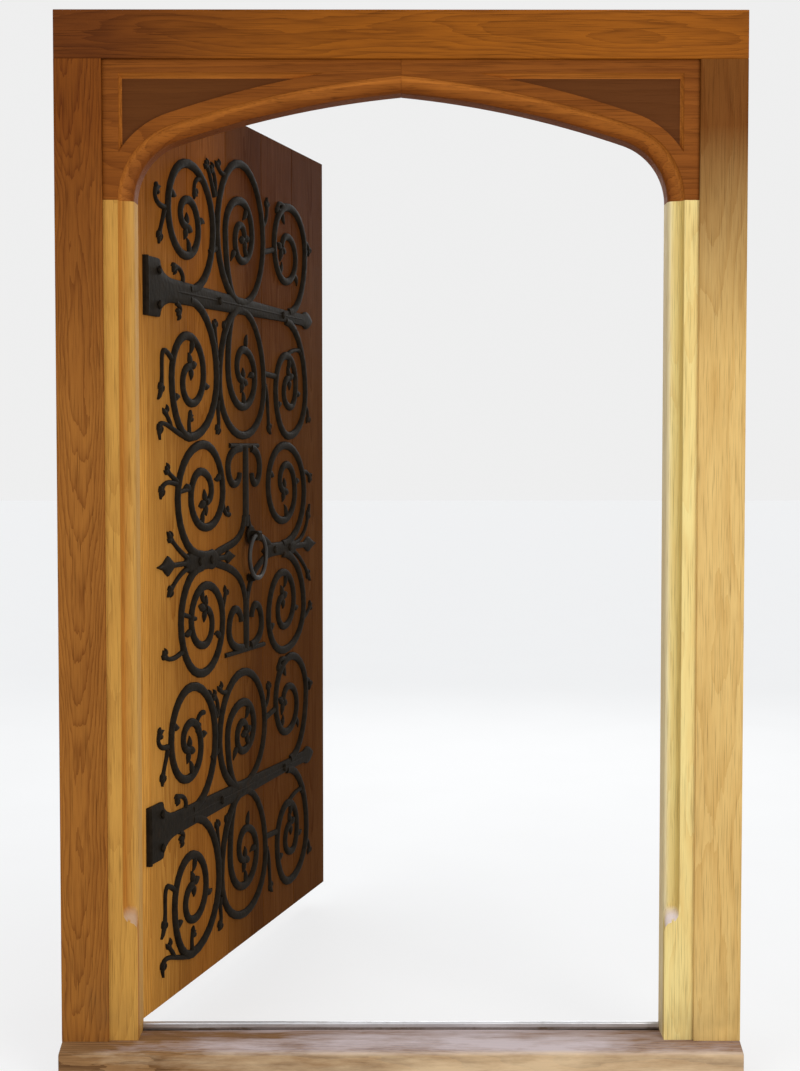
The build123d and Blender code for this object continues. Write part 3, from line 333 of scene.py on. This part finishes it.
spandrel_sink, spandrel_colour = 0.012, (0.085, 0.026, 0.005)
for side, seed in (("left", 6.1), ("right", 7.6)):
    node = f"{side}_arch_half"
    arch_oak, arch_shader, arch_place, arch_wood = oak(node, (0.29, 0.083, 0.009), (0.135, 0.033, 0.0035), level=True,
                                                       heart=0.14, lean=0.012, ring=0.011, depth=0.42, seed=seed)
    hollow, roll, depth, inward = moulded(arch_place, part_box(node)[0].y)
    reached = depth.held(spandrel_sink - 0.0015, spandrel_sink - 0.0002)
    passed = depth.held(spandrel_sink + 0.0004, spandrel_sink + 0.0015)
    sunk = reached * (1 - passed) * inward.held(-0.97, -0.99)
    arch_wood = (sunk * 0.8).colour(arch_wood, spandrel_colour)
    near_crown = 1 - abs(arch_place.parts()[0]).held(0.05, 0.45)
    # Painted highlight on the hollow, stronger near the crown, and painted shade on the roll below it.
    arch_wood = arch_wood.tinted(hollow, (1.75, 2.0, 2.6)).tinted(hollow * near_crown, (1.35, 1.4, 1.5))
    feed(arch_shader, Base_Color=arch_wood.tinted(roll, (0.86, 0.80, 0.8)))
    eased(node, f"{node}_of_oak", arch_oak, "frame", 0.001, 42)


# The leaf: six tongued and grooved boards on the outside, 22 mm thick, on a framing of two stiles, two rails
# and three ledges. The boards run upright and differ in tone, as boards from several logs do.

pivot = Vector(swing["pos_m"])


def painted_leaf_light(wood, place):
    """The leaf's colour with painted light and shade: a painted pool of light on its hinge side, painted shade along
    its top and towards its brown free edge.
    """
    hinge_light_tint, top_shade_tint, free_edge_shade_tint = (2.7, 3.5, 4.4), (0.80, 0.64, 0.55), (0.40, 0.36, 0.42)
    x, y, z = place.parts()
    along = (x - pivot.x) * cosine + (y - pivot.y) * sine + (place.noise(2.2, 3.0) - 0.5) * 0.16
    lit = along.held(0.36, 0.0) ** 1.2 * z.held(2.0, 1.3)
    wood = wood.tinted(z.held(1.45, 2.0), top_shade_tint)
    return wood.tinted(lit, hinge_light_tint).tinted(along.held(0.42, 0.72), free_edge_shade_tint)


board_light, board_dark = (0.355, 0.135, 0.021), (0.19, 0.056, 0.007)
for number, tone in enumerate((1.0, 0.93, 1.07, 0.9, 1.0, 0.9), start=1):
    node = f"face_board_{number}"
    board_oak, board_shader, board_place, board_wood = oak(
        node, [tone * value for value in board_light], [tone * value for value in board_dark], on_leaf=True,
        heart=0.045 + 0.02 * (number % 3), lean=0.012 * (-1) ** number, ring=0.005, depth=0.5,
        seed=8.0 + 1.37 * number)
    # Painted light on the hinge side, and painted shade along the top and towards the free edge.
    feed(board_shader, Base_Color=painted_leaf_light(board_wood, board_place))
    eased(node, f"board_{number}_of_oak", board_oak, "leaf", 0.0007)
for number, (node, is_level) in enumerate((("hinge_stile", False), ("lock_stile", False), ("top_rail", True),
                                           ("upper_ledge", True), ("middle_ledge", True), ("lower_ledge", True),
                                           ("bottom_rail", True))):
    framing_oak = oak(node, (0.40, 0.165, 0.030), (0.21, 0.072, 0.011), level=is_level, on_leaf=True, heart=0.09,
                      lean=0.015, ring=0.0055, depth=0.5, seed=20.0 + 1.7 * number)[0]
    eased(node, f"{node}_of_oak", framing_oak, "leaf", 0.0018)


# The ironwork on the leaf: two straps with their scrolls and a loose middle piece between them, forged from
# bar about 22 mm wide that stands 9 mm proud, and held by coach screws. Bars are domed by the hammer, scrolls
# thin towards their inner ends, and every tip is a leaf.

iron, iron_shader, iron_place = material("forged_iron", Specular_IOR_Level=0.025)
iron_dents = iron_place.node("TexVoronoi", {"feature": "SMOOTH_F1"}, {"Vector": iron_place, "Scale": 95.0})
iron_scale = iron_place.noise(60.0, 6.0, 0.65)
iron_rust = iron_place.noise(17.0, 6.0, 0.7).held(0.58, 0.78)
iron_black, iron_brown, rust = (0.011, 0.008, 0.005), (0.027, 0.020, 0.013), (0.060, 0.030, 0.014)
hammer_relief = 0.0012
iron_bare = iron_scale.held(0.3, 0.75).colour(iron_black, iron_brown)
feed(iron_shader, Base_Color=(iron_rust * 0.5).colour(iron_bare, rust),
     Roughness=iron_scale * 0.30 + iron_rust * 0.15 + 0.36,
     Normal=(iron_dents * 0.8 + iron_scale * 0.35).bump(hammer_relief, 0.65))

leaf_edge, leaf_face = -0.6305, 0.081
axis_heights = {"upper": 1.6745, "middle": 1.0525, "lower": 0.460}
pattern_start, reach_scale = 82.0, 1081.5 / 1079.0


def leaf_place(u, v, proud, axis):
    """A place on the open leaf: along it from the hinge edge and up from an axis, in mm, and proud of its face."""
    x = leaf_edge + (pattern_start + (u - pattern_start) * reach_scale) / 1000 - pivot.x
    y = leaf_face - proud / 1000 - pivot.y
    return Vector((pivot.x + x * cosine - y * sine, pivot.y + x * sine + y * cosine, axis_heights[axis] + v / 1000))


def smooth_whorl(points):
    """The same quarter turns as the forging's plan, with as many points as a smooth bar needs."""
    steps = 7
    starts_level = True
    line = [points[0]]
    for (u0, v0), (u1, v1) in zip(points, points[1:]):
        for i in range(1, steps + 1):
            turn = math.pi / 2 * i / steps
            if starts_level:
                line.append((u0 + (u1 - u0) * math.sin(turn), v1 + (v0 - v1) * math.cos(turn)))
            else:
                line.append((u1 + (u0 - u1) * math.cos(turn), v0 + (v1 - v0) * math.sin(turn)))
        starts_level = not starts_level
    return line


def smooth_sweep(points):
    """One smooth curve from the first point to the last, drawn towards those between."""
    steps = 12
    n = len(points) - 1
    line = []
    for i in range(steps + 1):
        t = i / steps
        share = [math.comb(n, k) * t ** k * (1 - t) ** (n - k) for k in range(n + 1)]
        line.append(tuple(sum(s * p[axis] for s, p in zip(share, points)) for axis in (0, 1)))
    return line


domed = [(math.cos(math.pi * i / 8), math.sin(math.pi * i / 8) ** 0.62) for i in range(9)]
flat_topped = [(1.0, 0.0), (1.0, 0.55), (0.93, 0.80), (0.5, 0.92), (0.0, 1.0), (-0.5, 0.92), (-0.93, 0.80),
               (-1.0, 0.55), (-1.0, 0.0)]


def hammer(work, line, widths, heights, axis, section=domed):
    """Add one bar to a forging: a section carried along a line, as wide and as proud as asked at each point."""
    rows = []
    for i, (u, v) in enumerate(line):
        before, after = line[max(i - 1, 0)], line[min(i + 1, len(line) - 1)]
        du, dv = after[0] - before[0], after[1] - before[1]
        length = math.hypot(du, dv)
        aside_u, aside_v = -dv / length * widths[i] / 2, du / length * widths[i] / 2
        rows.append([work.verts.new(leaf_place(u + aside_u * across, v + aside_v * across, heights[i] * up, axis))
                     for across, up in section])
    for near, far in zip(rows, rows[1:]):
        for a, b, c, d in zip(near, near[1:], far[1:], far):
            work.faces.new((a, b, c, d))
        work.faces.new((near[-1], near[0], far[0], far[-1]))
    work.faces.new(rows[0])
    work.faces.new(rows[-1][::-1])


def blade(work, root, towards, length, width, axis, bend):
    """A small forged leaf with a pointed tip, curled to one side."""
    proud = 7.5
    shape = [(0.0, 0.40), (0.2, 0.55), (0.42, 1.0), (0.62, 0.90), (0.82, 0.48), (1.0, 0.06)]
    line = [(root[0] + length * share * math.cos(towards + bend * share),
             root[1] + length * share * math.sin(towards + bend * share)) for share, _ in shape]
    hammer(work, line, [width * part for _, part in shape], [proud * part ** 0.4 for _, part in shape], axis)


def heading(line, i, j):
    """The way a line runs between two of its points."""
    (u0, v0), (u1, v1) = line[i], line[j]
    return math.atan2(v1 - v0, u1 - u0)


def scrolled(work, points, axis, tip=True):
    """A scroll that thins along its way. A tip gives it two leaflets turned in, one turned out and an end cluster."""
    bar_width, bar_proud, thinning = 22.0, 9.2, 0.16
    leaflet_length, leaflet_width, cluster_width = 42, 18, 21
    line = smooth_whorl(points)
    last = len(line) - 1
    thin = [1 - thinning * (i / last) ** 1.4 for i in range(last + 1)]
    hammer(work, line, [bar_width * share for share in thin], [bar_proud * share ** 0.5 for share in thin], axis)
    if not tip:
        return
    inward = math.copysign(1, sum(u0 * v1 - u1 * v0 for (u0, v0), (u1, v1) in zip(line, line[1:] + line[:1])))
    for share, turn in ((0.34, inward), (0.52, inward), (0.66, -inward)):
        i = int(share * last)
        towards = heading(line, i - 1, i + 1) + 0.75 * turn
        blade(work, line[i], towards, leaflet_length, leaflet_width, axis, 0.8 * turn)
    for spread, length in ((-1.1, 33), (0.0, 42), (1.1, 33)):
        blade(work, line[-1], heading(line, -3, -1) + spread, length, cluster_width, axis, 0.4 * spread)


def tendril(work, axis, *points):
    """A thin curl that swells to a leaf near its end, with a small leaf to either side."""
    root_width, leaf_swell, tip_width, proud = 13.0, 11, 2.0, 7.5
    line = smooth_sweep(points)
    last = len(line) - 1
    shares = [i / last for i in range(last + 1)]
    widths = [root_width * (1 - 0.35 * t) + leaf_swell * max(0.0, 1 - abs(t - 0.82) / 0.18) for t in shares]
    widths[-1] = tip_width
    hammer(work, line, widths, [proud - 1.5 * t for t in shares], axis)
    for spread in (-1.15, 1.15):
        blade(work, line[-4], heading(line, -4, -2) + spread, 21, 13, axis, -0.5 * spread)


def plain_bar(work, axis, line, width, end_width):
    """A bar of one height that goes from one width to another."""
    proud = 7.0
    last = len(line) - 1
    hammer(work, line, [width + (end_width - width) * i / last for i in range(last + 1)], [proud] * (last + 1), axis)


def strap(work, axis):
    """The tapered strap: a broad plate by the hinge, a hollow neck, a long taper and a leaf-shaped end."""
    plate_half = 65
    profile = [(82, plate_half), (150, plate_half), (160, 64)]
    profile += [(234 - 74 * math.cos(a), plate_half - 38 * math.sin(a))
                for a in (math.radians(12 * i) for i in range(1, 8))]
    profile += [(234 + 60 * i, 27 - 0.95 * i) for i in range(1, 13)]
    profile += [(1075, 16), (1085, 17), (1097, 22), (1111, 24), (1126, 20), (1142, 11), (1152, 5), (1159, 0.6)]
    hammer(work, [(u, 0.0) for u, _ in profile], [2 * half for _, half in profile],
           [8.0 if half > 12 else 5.0 + half / 4 for _, half in profile], axis, flat_topped)
    rim_line, rim_width, rim_heights = [(89, v) for v in (-65, -40, 0, 40, 65)], 15, [11.5, 12.5, 12.5, 12.5, 11.5]
    hammer(work, rim_line, [rim_width] * 5, rim_heights, axis)
    rib_line, rib_widths = [(225 + 60 * i, 0) for i in range(15)], [1.5, 9] + [9 - 0.25 * i for i in range(13)]
    hammer(work, rib_line, rib_widths, [7.8] + [9.4] * 14, axis)


def hinge_work(axis, crown):
    """A strap with the scrolls over and under it. The crown is the top of its middle scroll, above the axis."""
    work = bmesh.new()
    strap(work, axis)
    scrolled(work, [(325, 12), (462, 165), (325, 301), (209, 188), (303, 88), (376, 152), (322, 218), (276, 184),
                    (305, 156)], axis)
    scrolled(work, [(640, 8), (488, 0.48 * crown), (641, crown), (788, 0.5 * crown), (640, 8)], axis, tip=False)
    scrolled(work, [(614, 8), (538, 0.5 * crown), (640, 0.74 * crown), (712, 0.52 * crown), (645, 0.32 * crown),
                    (600, 0.45 * crown), (638, 0.57 * crown), (662, 0.49 * crown)], axis)
    scrolled(work, [(975, 12), (1103, 185), (982, 294), (868, 184), (950, 92), (1028, 158), (968, 214),
                    (926, 182)], axis)
    scrolled(work, [(325, -12), (481, -183), (322, -330), (223, -195), (314, -95), (402, -180), (336, -251),
                    (283, -206), (325, -166)], axis)
    scrolled(work, [(640, -8), (497, -197), (650, -323), (791, -195), (640, -8)], axis, tip=False)
    scrolled(work, [(606, -10), (551, -155), (645, -251), (727, -177), (656, -107), (609, -150), (643, -184)], axis)
    scrolled(work, [(950, -12), (1104, -200), (973, -321), (875, -202), (959, -105), (1027, -180), (986, -243),
                    (936, -207), (972, -166)], axis)
    for near, far in (((440, 110), (495, 130)), ((470, -150), (510, -150)), ((780, 150), (880, 170)),
                      ((782, -160), (885, -165))):
        plain_bar(work, axis, [near, far], 15, 15)
    for points in (((192, 183), (138, 181), (124, 217), (169, 225)), ((190, 176), (182, 148), (168, 141), (161, 98)),
                   ((473, 0.70 * crown), (455, 0.80 * crown), (437, 0.88 * crown), (419, 0.92 * crown)),
                   ((478, 0.71 * crown), (485, 0.83 * crown), (470, 0.87 * crown), (449, 0.90 * crown)),
                   ((546, 0.88 * crown), (520, 0.87 * crown), (492, 0.89 * crown), (495, 0.955 * crown)),
                   ((396, 0.78 * crown), (362, 0.80 * crown), (339, 0.69 * crown), (370, 0.66 * crown)),
                   ((778, 0.62 * crown), (815, 0.62 * crown), (824, 0.75 * crown), (816, 0.84 * crown)),
                   ((940, 292), (900, 300), (892, 290), (896, 268)),
                   ((1095, 215), (1122, 218), (1136, 205), (1142, 190)),
                   ((286, 24), (302, 49), (243, 73), (234, 43)),
                   ((227, -155), (130, -87), (204, -219), (151, -247)),
                   ((301, -329), (232, -322), (140, -262), (160, -337)),
                   ((217, -306), (215, -290), (190, -283), (192, -266)),
                   ((320, -321), (321, -312), (309, -280), (338, -279)),
                   ((480, -130), (480, -96), (472, -73), (473, -44)),
                   ((502, -140), (525, -91), (529, -76), (538, -43)),
                   ((490, -240), (483, -281), (509, -292), (479, -321)),
                   ((800, -190), (828, -230), (812, -290), (838, -318)),
                   ((1097, -235), (1120, -240), (1130, -262), (1128, -280)),
                   ((959, -105), (1010, -82), (1050, -86), (1086, -84)),
                   ((250, -24), (280, -30), (282, -46), (256, -52))):
        tendril(work, axis, *points)
    return work


for axis, crown in (("upper", 353.0), ("lower", 295.0)):
    dressed(hinge_work(axis, crown), f"{axis}_strap_forging", iron, "leaf",
            [f"{axis}_strap_work"], turn=50)


def middle_work():
    """The middle piece: two pairs of whorls on level bars, joined to an upright stem by curved arms."""
    axis = "middle"
    work = bmesh.new()
    scrolled(work, [(390, 14), (252, 150), (402, 276), (515, 162), (418, 78), (326, 150), (386, 212), (446, 166),
                    (414, 138)], axis)
    scrolled(work, [(390, -14), (266, -138), (394, -268), (511, -150), (414, -60), (324, -137), (398, -202),
                    (446, -155), (410, -116)], axis)
    scrolled(work, [(923, 10), (1091, 149), (945, 276), (818, 171), (927, 74), (1018, 150), (959, 224), (905, 184),
                    (932, 156)], axis)
    scrolled(work, [(923, -14), (1086, -165), (936, -276), (818, -178), (923, -65), (1007, -140), (936, -212),
                    (886, -166), (920, -132)], axis)
    for outline in ([(143, 1), (158, 4), (172, 8), (186, 17), (200, 24), (214, 16), (228, 6), (290, 6), (302, 20),
                     (320, 25), (345, 22), (386, 23), (430, 22), (455, 25), (470, 20), (482, 7), (530, 7), (548, 17),
                     (565, 10), (584, 1)],
                    [(775, 1), (796, 12), (820, 21), (860, 18), (965, 18), (1005, 20), (1020, 8), (1091, 8),
                     (1112, 18), (1127, 22), (1149, 12), (1177, 1)]):
        hammer(work, [(u, 0.0) for u, _ in outline], [2 * half for _, half in outline], [8.5] * len(outline), axis)
    for line, width, end_width in (([(666, 272), (666, 170), (666, 70)], 28, 34),
                                   ([(560, 274), (748, 274)], 12, 12),
                                   (smooth_sweep([(655, 96), (640, 20), (560, 34), (466, 10)]), 20, 20),
                                   (smooth_sweep([(678, 96), (690, 30), (780, 52), (838, 8)]), 18, 20),
                                   ([(666, -96), (666, -170), (666, -246)], 33, 28),
                                   ([(528, -243), (788, -243)], 12, 12),
                                   (smooth_sweep([(468, -10), (560, -28), (640, -40), (658, -112)]), 20, 20),
                                   (smooth_sweep([(828, -8), (770, -26), (694, -44), (674, -112)]), 20, 18),
                                   ([(258, 166), (322, 172)], 11, 11),
                                   ([(268, -114), (350, -134)], 11, 11)):
        plain_bar(work, axis, line, width, end_width)
    for points in ([(632, 268), (548, 222), (590, 178), (624, 206)],
                   [(700, 268), (758, 222), (728, 178), (704, 204)],
                   [(640, -236), (550, -186), (592, -134), (630, -168)],
                   [(692, -236), (768, -186), (730, -134), (700, -164)]):
        scrolled(work, points, axis, tip=False)
    for points in (((306, 12), (254, 34), (226, 52), (196, 78)),
                   ((306, -12), (254, -24), (226, -46), (196, -70)),
                   ((1000, 8), (1090, 8), (1124, 60), (1136, 112)),
                   ((1000, -8), (1060, -30), (1118, -70), (1140, -104)),
                   ((258, 186), (225, 205), (206, 206), (190, 226)),
                   ((258, 184), (215, 190), (165, 200), (162, 152)),
                   ((284, -200), (220, -222), (180, -214), (172, -188)),
                   ((1078, 200), (1110, 210), (1130, 196), (1152, 178)),
                   ((1076, -205), (1110, -200), (1130, -182), (1152, -168)),
                   ((512, 140), (530, 100), (546, 100), (552, 112)),
                   ((506, -141), (524, -100), (530, -90), (534, -84))):
        tendril(work, axis, *points)
    return work


dressed(middle_work(), "middle_scroll_forging", iron, "leaf", ["middle_scroll_work"], turn=50)
eased("ironwork_screws", "coach_screw_heads", iron, "leaf", 0.0012)


# The knocker: a forged boss in front of the middle piece, a ring of round bar whose ends turn in it, and a
# stud that the ring strikes. The bar is 11 mm thick and swells at the bottom. Hands keep the ring brighter
# than the rest of the iron.

eased("knocker_boss", "knocker_boss_of_iron", iron, "leaf", 0.0012)
eased("knocker_stud", "knocker_stud_of_iron", iron, "leaf", 0.0014)
ring_work = bmesh.new()
lift = next(joint for joint in frame["joints"] if joint["name"] == "knocker_lift")
ring_pivot = Vector(lift["pos_m"])
ring_side = Vector(lift["axis"]).normalized()
ring_radius, ring_bar, pivot_spread = 0.055, 0.0053, 0.018
ring_steps, bar_sides, ring_swell = 64, 16, 0.16
ring_bottom, swell_reach = 34, 9
ring_drop = math.sqrt(ring_radius ** 2 - pivot_spread ** 2)
gap = 2 * math.asin(pivot_spread / ring_radius)
ring_line = [(0.005, 0.0), (0.010, 0.0)]
for i in range(ring_steps + 1):
    angle = math.pi / 2 - gap / 2 - (2 * math.pi - gap) * i / ring_steps
    ring_line.append((ring_radius * math.cos(angle), ring_radius * math.sin(angle) - ring_drop))
ring_line += [(-0.010, 0.0), (-0.005, 0.0)]
ring_out = ring_side.cross(Vector((0, 0, 1)))
rows = []
for i, (across, up) in enumerate(ring_line):
    before, after = ring_line[max(i - 1, 0)], ring_line[min(i + 1, len(ring_line) - 1)]
    run = (ring_side * -(after[0] - before[0]) + Vector((0, 0, after[1] - before[1]))).normalized()
    beside = run.cross(ring_out)
    thick = ring_bar * (1 + ring_swell * max(0.0, 1 - abs(i - ring_bottom) / swell_reach))
    centre = ring_pivot - ring_side * across + Vector((0, 0, up))
    rows.append([ring_work.verts.new(centre + thick * (beside * math.cos(t) + ring_out * math.sin(t)))
                 for t in (2 * math.pi * k / bar_sides for k in range(bar_sides))])
for near, far in zip(rows, rows[1:]):
    for k in range(bar_sides):
        beyond = (k + 1) % bar_sides
        ring_work.faces.new((near[k], near[beyond], far[beyond], far[k]))
ring_work.faces.new(rows[0][::-1])
ring_work.faces.new(rows[-1])
bmesh.ops.recalc_face_normals(ring_work, faces=ring_work.faces)
handled_iron, handled_shine = iron.copy(), 0.5
handled_iron.name = "handled_iron"
handled_iron.node_tree.nodes["Principled BSDF"].inputs["Specular IOR Level"].default_value = handled_shine
dressed(ring_work, "knocker_ring_of_iron", handled_iron, "knocker", ["knocker_ring"], turn=60)


# The lift-off butt hinges: three pairs of steel flaps let into the leaf's and the post's edges, with the
# knuckles standing clear on the inner side.

steel, steel_shader, steel_place = material("worn_steel", Metallic=0.9)
steel_grey, steel_bright, grime_brown = (0.36, 0.35, 0.33), (0.52, 0.51, 0.49), (0.10, 0.085, 0.07)
steel_brush = steel_place.stretched(160, 160, 14).noise(1.0, 4.0, 0.6)
steel_grime = steel_place.noise(45.0, 5.0, 0.65).held(0.45, 0.72)
feed(steel_shader,
     Base_Color=(steel_grime * 0.7).colour(steel_brush.held(0.3, 0.7).colour(steel_grey, steel_bright), grime_brown),
     Roughness=steel_grime * 0.3 + steel_brush * 0.15 + 0.26,
     Normal=steel_brush.bump(0.0003, 0.35))
for height in ("upper", "middle", "lower"):
    eased(f"{height}_hinge_frame_flap", f"{height}_hinge_flap_in_post", steel, "frame", 0.0004, 45)
    eased(f"{height}_hinge_pin", f"{height}_hinge_pin_of_steel", steel, "frame", 0.0003, 45)
    eased(f"{height}_hinge_leaf_flap", f"{height}_hinge_flap_in_leaf", steel, "leaf", 0.0004, 45)


# The mortice lock: a steel case and forend in the leaf's free edge, with its bolt drawn back, a strike plate
# in the right post, and a small iron escutcheon inside.

for node, body, slot, finish in (("lock_case", "leaf", "lock_steel", steel),
                                 ("lock_forend", "leaf", "lock_steel", steel),
                                 ("lock_bolt", "bolt", "bolt_steel", steel),
                                 ("strike_plate", "frame", "lock_steel", steel),
                                 ("key_escutcheon", "leaf", "wrought_iron", iron)):
    eased(node, f"{node}_finished", finish, body, 0.0005)


# A plain pale floor and backdrop, soft studio light, and the camera that stands where the photograph's did.
# The floor glows more to the camera than to the piece, so that it runs into the backdrop without a line.

floor_finish, floor_shader, floor_place = material("studio_floor", Roughness=0.85, Specular_IOR_Level=0.1,
                                                   Emission_Strength=0.64)
floor_shade = floor_place.noise(3.0, 3.0).held(0.2, 0.8)
floor_seen = floor_place.node("LightPath")
feed(floor_shader, Base_Color=floor_shade.colour((0.34, 0.34, 0.335), (0.36, 0.36, 0.355)),
     Emission_Color=floor_seen.colour((0.3, 0.3, 0.3), (1.0, 1.0, 1.0)))
floor_half, floor_drop = 40, 0.0005
floor_mesh = bpy.data.meshes.new("studio_floor")
floor_corners = [(x * floor_half, y * floor_half, -floor_drop) for x, y in ((-1, -1), (1, -1), (1, 1), (-1, 1))]
floor_mesh.from_pydata(floor_corners, [], [(0, 1, 2, 3)])
floor_mesh.materials.append(floor_finish)
floor = bpy.data.objects.new("studio_floor", floor_mesh)
bpy.context.scene.collection.objects.link(floor)

world = bpy.data.worlds.new("studio")
world.use_nodes = True
bpy.context.scene.world = world
world_tree = world.node_tree
world_tree.nodes.clear()
world_out = world_tree.nodes.new("ShaderNodeOutputWorld")
rays = world_tree.nodes.new("ShaderNodeLightPath")
seen, mirrored, through = (Sock(world_tree, rays.outputs[ray])
                           for ray in ("Is Camera Ray", "Is Glossy Ray", "Is Transmission Ray"))
backdrop = seen.maths("MAXIMUM", seen, mirrored.maths("MAXIMUM", mirrored, through))
sky_light, sky_strength, backdrop_grey = (0.82, 0.86, 0.92), 0.70, (0.86, 0.86, 0.86)
glow = backdrop.node("Background", None, {0: backdrop.colour(sky_light, backdrop_grey),
                                         1: backdrop.node("MapRange", None, {0: backdrop, 3: sky_strength, 4: 1.0})})
world_tree.links.new(glow.socket, world_out.inputs[0])


def lamp(name, place, target, size, power, tint):
    """A square lamp of this size in metres and this power in watts, turned towards its target."""
    light = bpy.data.lights.new(name, "AREA")
    light.size, light.energy, light.color = size, power, tint
    made = bpy.data.objects.new(name, light)
    made.location = place
    made.rotation_euler = (Vector(target) - Vector(place)).to_track_quat("-Z", "Y").to_euler()
    bpy.context.scene.collection.objects.link(made)


lamp("key", (2.6, -3.6, 1.7), (0.0, 0.1, 0.8), 2.2, 76, (1.0, 0.97, 0.92))
lamp("fill", (-3.2, -3.4, 2.4), (0.0, 0.2, 1.0), 2.8, 48, (0.97, 0.98, 1.0))
lamp("behind", (0.5, 4.2, 3.0), (0.0, 0.4, 1.0), 2.6, 45, (1.0, 1.0, 1.0))

camera_data = bpy.data.cameras.new("camera")
camera_data.lens, camera_data.sensor_width = 54.79, 36.0
camera_data.shift_y = -0.0128
camera = bpy.data.objects.new("camera", camera_data)
looks_down, looks_right = math.radians(2.48), math.radians(0.145)
camera.location = (-0.01096, -3.36952, 1.31234)
camera.rotation_euler = (math.radians(90) - looks_down, 0.0, -looks_right)
bpy.context.scene.collection.objects.link(camera)
bpy.context.scene.camera = camera
bpy.context.scene.view_settings.view_transform = "Standard"
